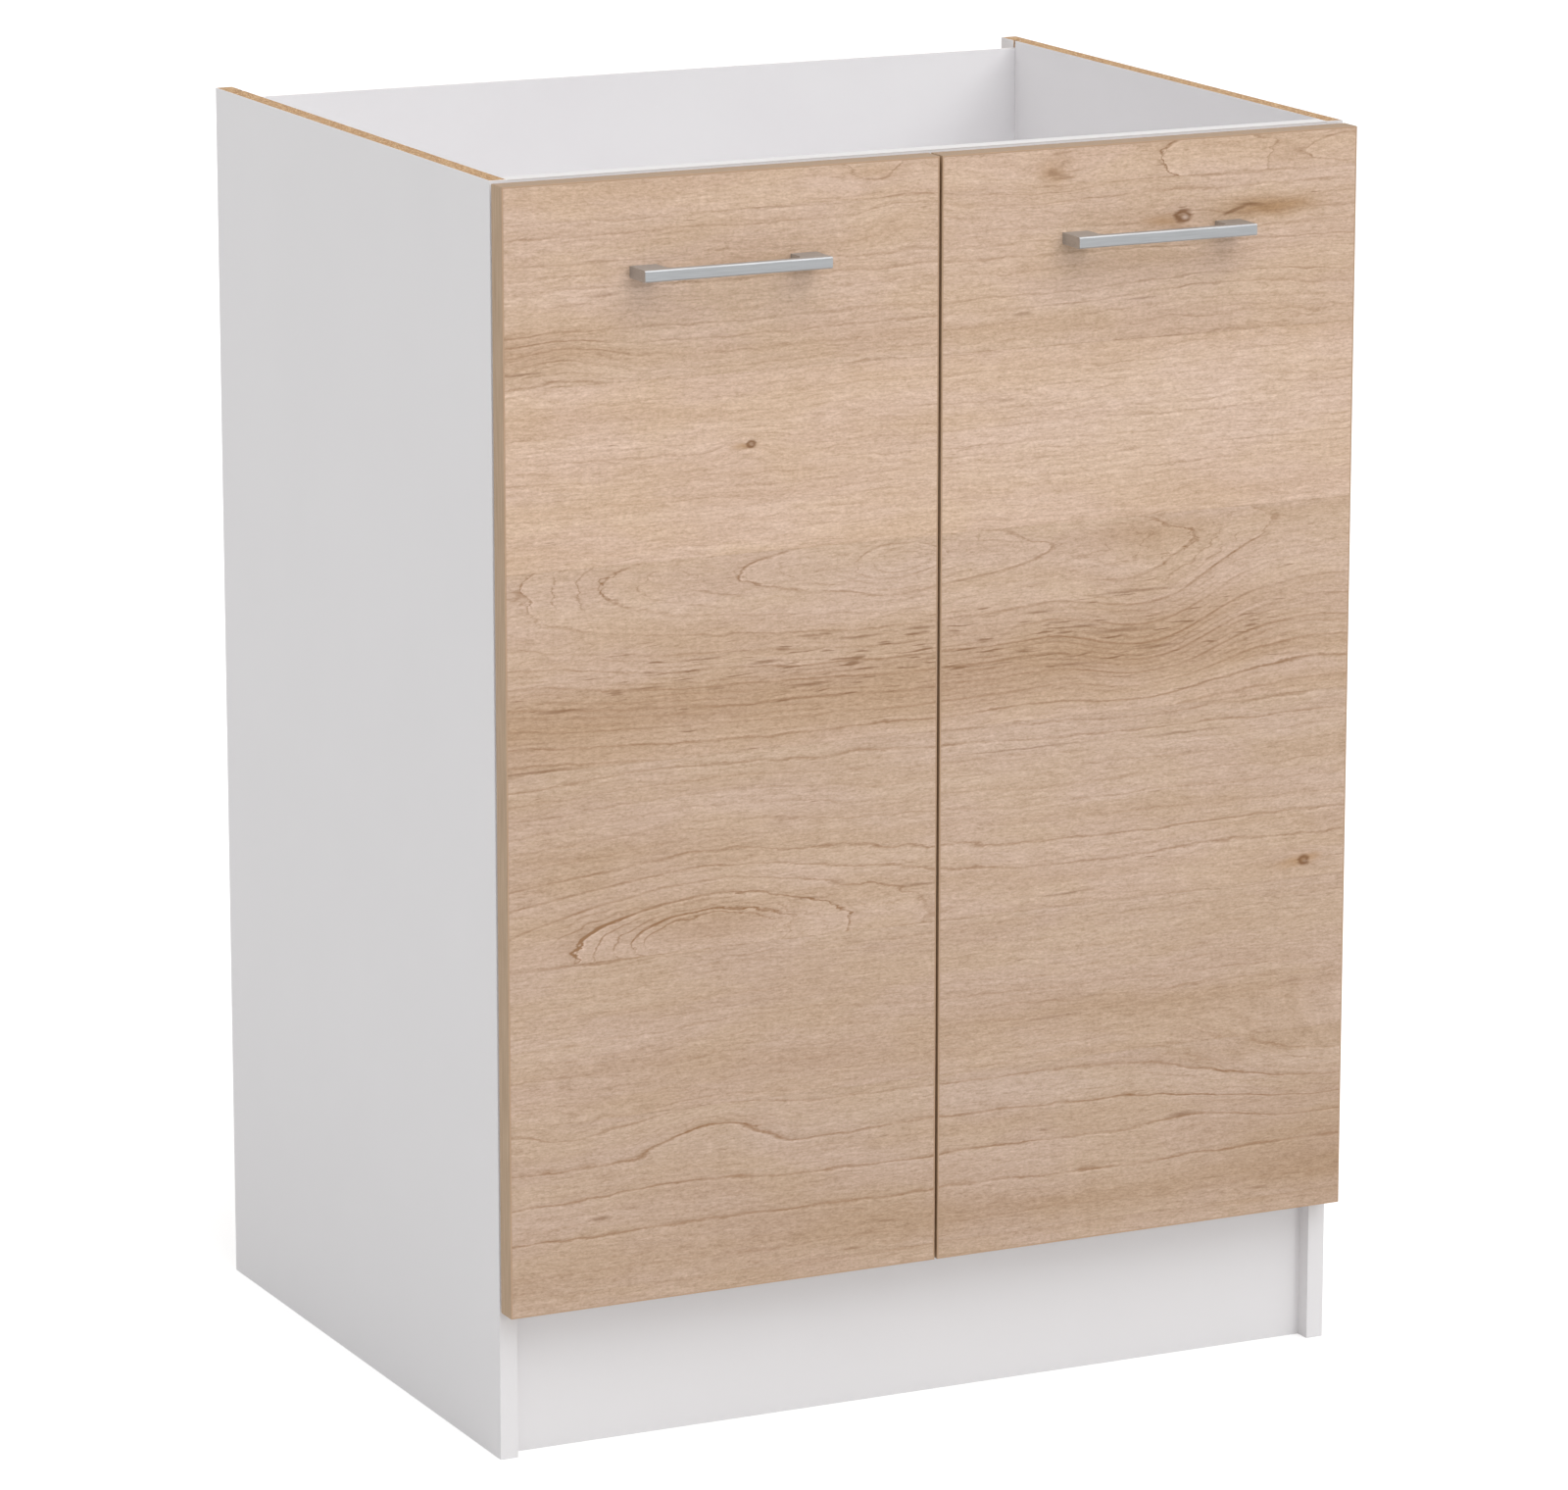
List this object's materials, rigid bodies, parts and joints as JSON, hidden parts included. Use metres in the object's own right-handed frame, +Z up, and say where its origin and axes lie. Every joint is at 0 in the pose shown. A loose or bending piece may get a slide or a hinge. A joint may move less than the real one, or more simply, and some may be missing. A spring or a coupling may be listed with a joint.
{
  "type": "kitchen base cabinet",
  "caption": "White base cabinet with full-overlay wood-decor doors on concealed hinges, bar handles, an upright front rail, a recessed plinth, an inner shelf and an open top.",
  "frame": {"origin": "on the floor, at the middle of the overall width and of the depth from the handles' front to the side panels' rear edges", "axes": "+X to the right seen from the front, +Y to the back, +Z up"},
  "size_m": [0.6, 0.4976, 0.82],
  "materials": {
    "white_melamine": "white melamine on particleboard, raw at the unbanded edges",
    "white_edging": "thin white edge band",
    "white_hardboard": "hardboard, white in front and raw brown behind",
    "oak_decor": "light oak decor with level grain, satin",
    "oak_edging": "plain brown edge band",
    "satin_metal": "satin grey",
    "beech": "fluted beech",
    "white_plastic": "moulded white plastic",
    "clear_plastic": "soft translucent plastic",
    "zinc_casting": "dull zinc casting",
    "hinge_steel": "bright nickel-plated steel",
    "bright_steel": "zinc-plated steel"
  },
  "bodies": {
    "carcass": {"side_panel_left": "white_melamine", "side_panel_right": "white_melamine", "side_edge_band_left": "white_edging", "side_edge_band_right": "white_edging", "bottom_panel": "white_melamine", "bottom_edge_band": "white_edging", "back_panel": "white_hardboard", "back_panel_nails": "bright_steel", "front_rail": "white_melamine", "rail_edge_band": "white_edging", "plinth_board": "white_melamine", "plinth_brackets": "white_plastic", "plinth_screws": "bright_steel", "cam_locks": "zinc_casting", "cam_bolts": "bright_steel", "wooden_dowels": "beech", "shelf": "white_melamine", "shelf_edge_band": "white_edging", "shelf_pins": "bright_steel", "hinge_arm_left_upper": "hinge_steel", "hinge_arm_left_lower": "hinge_steel", "hinge_arm_right_upper": "hinge_steel", "hinge_arm_right_lower": "hinge_steel", "hinge_plate_left_upper": "hinge_steel", "hinge_plate_left_lower": "hinge_steel", "hinge_plate_right_upper": "hinge_steel", "hinge_plate_right_lower": "hinge_steel", "arm_pins_left": "hinge_steel", "arm_pins_right": "hinge_steel", "plate_screws_left": "bright_steel", "plate_screws_right": "bright_steel", "arm_screws_left": "bright_steel", "arm_screws_right": "bright_steel"},
    "left_long_links": {"long_link_left_upper": "hinge_steel", "long_link_left_lower": "hinge_steel"},
    "left_door": {"door_left": "oak_decor", "door_edging_left": "oak_edging", "handle_left": "satin_metal", "handle_screws_left": "bright_steel", "door_bumpers_left": "clear_plastic", "cup_pins_left": "hinge_steel", "cup_screws_left": "bright_steel", "hinge_cup_left_upper": "hinge_steel", "hinge_cup_left_lower": "hinge_steel"},
    "left_short_links": {"short_link_left_upper": "hinge_steel", "short_link_left_lower": "hinge_steel"},
    "right_long_links": {"long_link_right_upper": "hinge_steel", "long_link_right_lower": "hinge_steel"},
    "right_door": {"door_right": "oak_decor", "door_edging_right": "oak_edging", "handle_right": "satin_metal", "handle_screws_right": "bright_steel", "door_bumpers_right": "clear_plastic", "cup_pins_right": "hinge_steel", "cup_screws_right": "bright_steel", "hinge_cup_right_upper": "hinge_steel", "hinge_cup_right_lower": "hinge_steel"},
    "right_short_links": {"short_link_right_upper": "hinge_steel", "short_link_right_lower": "hinge_steel"}
  },
  "joints": [
    {"name": "left_long_link_swing", "type": "hinge", "parent": "carcass", "child": "left_long_links", "pos_m": [-0.264, -0.20365, 0.4585], "axis": [0, 0, 1], "range_deg": [0, 29.7]},
    {"name": "left_door_swing", "type": "hinge", "parent": "left_long_links", "child": "left_door", "pos_m": [-0.2879, -0.21375, 0.4585], "axis": [0, 0, -1], "range_deg": [0, 124.69]},
    {"name": "left_short_link_swing", "type": "hinge", "parent": "left_door", "child": "left_short_links", "pos_m": [-0.288, -0.21915, 0.4585], "axis": [0, 0, 1], "range_deg": [0, 108.7]},
    {"name": "right_long_link_swing", "type": "hinge", "parent": "carcass", "child": "right_long_links", "pos_m": [0.264, -0.20365, 0.4585], "axis": [0, 0, -1], "range_deg": [0, 29.7]},
    {"name": "right_door_swing", "type": "hinge", "parent": "right_long_links", "child": "right_door", "pos_m": [0.2879, -0.21375, 0.4585], "axis": [0, 0, 1], "range_deg": [0, 124.69]},
    {"name": "right_short_link_swing", "type": "hinge", "parent": "right_door", "child": "right_short_links", "pos_m": [0.288, -0.21915, 0.4585], "axis": [0, 0, -1], "range_deg": [0, 108.7]}
  ],
  "couplings": [
    {"joint": "left_long_link_swing", "follows": "left_door_swing", "ratio": 0.2381},
    {"joint": "left_short_link_swing", "follows": "left_door_swing", "ratio": 0.87143},
    {"joint": "right_long_link_swing", "follows": "right_door_swing", "ratio": 0.2381},
    {"joint": "right_short_link_swing", "follows": "right_door_swing", "ratio": 0.87143}
  ]
}
